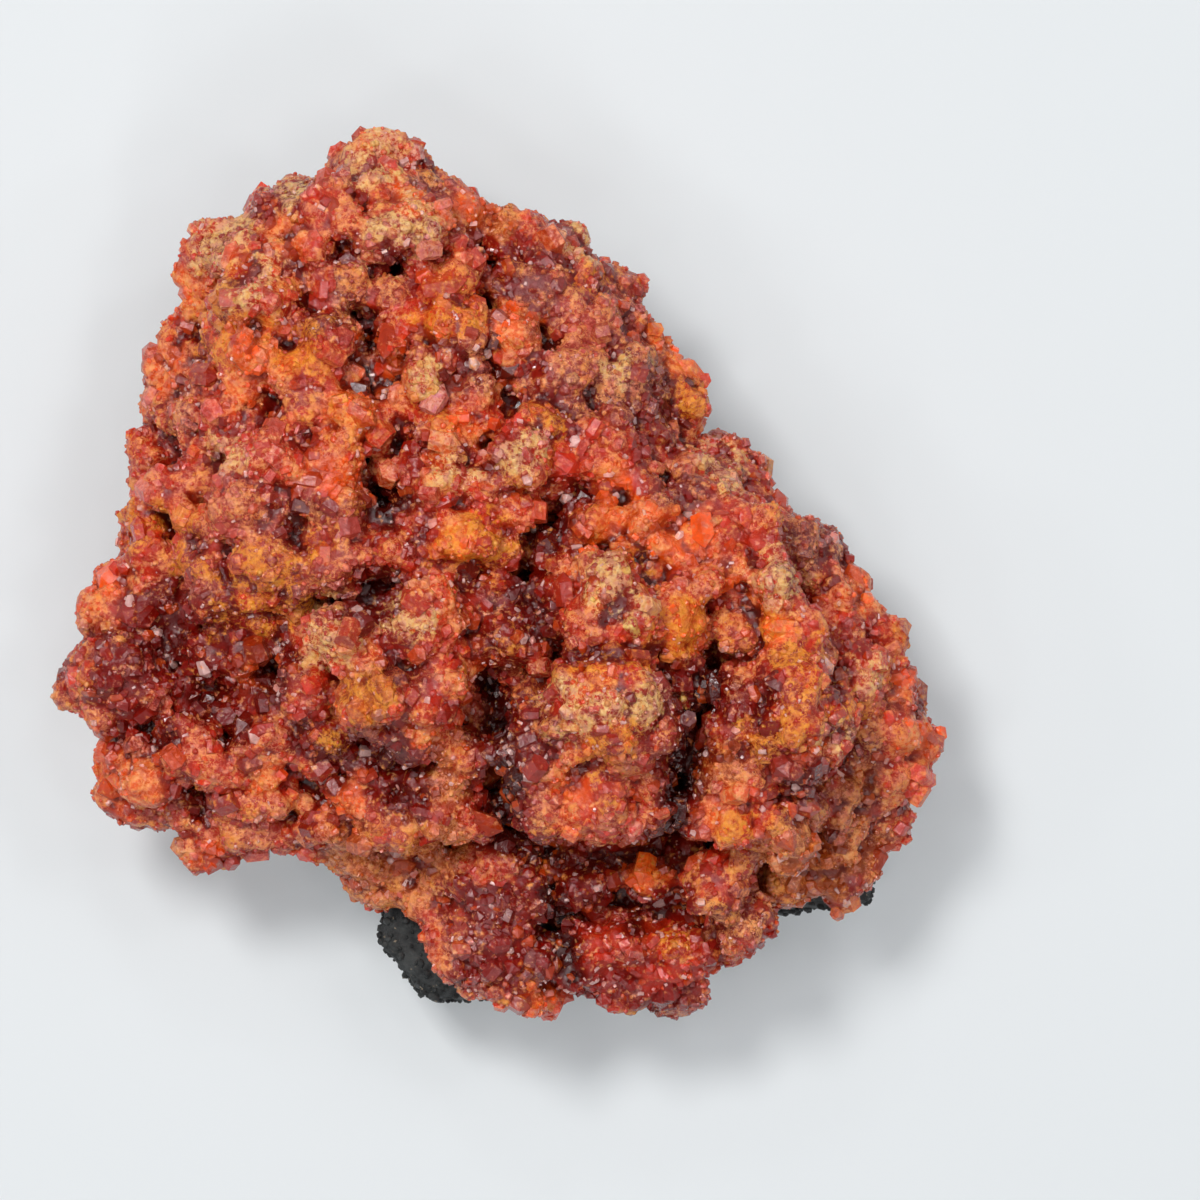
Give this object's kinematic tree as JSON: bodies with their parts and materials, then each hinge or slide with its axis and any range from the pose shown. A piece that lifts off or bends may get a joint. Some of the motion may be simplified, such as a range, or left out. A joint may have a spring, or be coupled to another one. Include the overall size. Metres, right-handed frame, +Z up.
{
  "type": "zincite on matrix specimen",
  "caption": "Mineral specimen: a thick, knobbly crust of grown-together zincite crystals over a slab of dark granular rock, sawn flat underneath to rest on.",
  "frame": {"origin": "on the flat sawn underside of the matrix, below the middle of the specimen as seen from above", "axes": "+Z up, out of the crystals, away from the sawn underside; +Y towards the crust's peak; +X towards its long right-hand flank as seen from above with the peak away from the viewer"},
  "size_m": [0.0639, 0.0642, 0.0312],
  "materials": {
    "matrix": "matte",
    "zincite": "satin"
  },
  "bodies": {
    "root": {"matrix": "matrix", "zincite_crust": "zincite"}
  },
  "joints": []
}
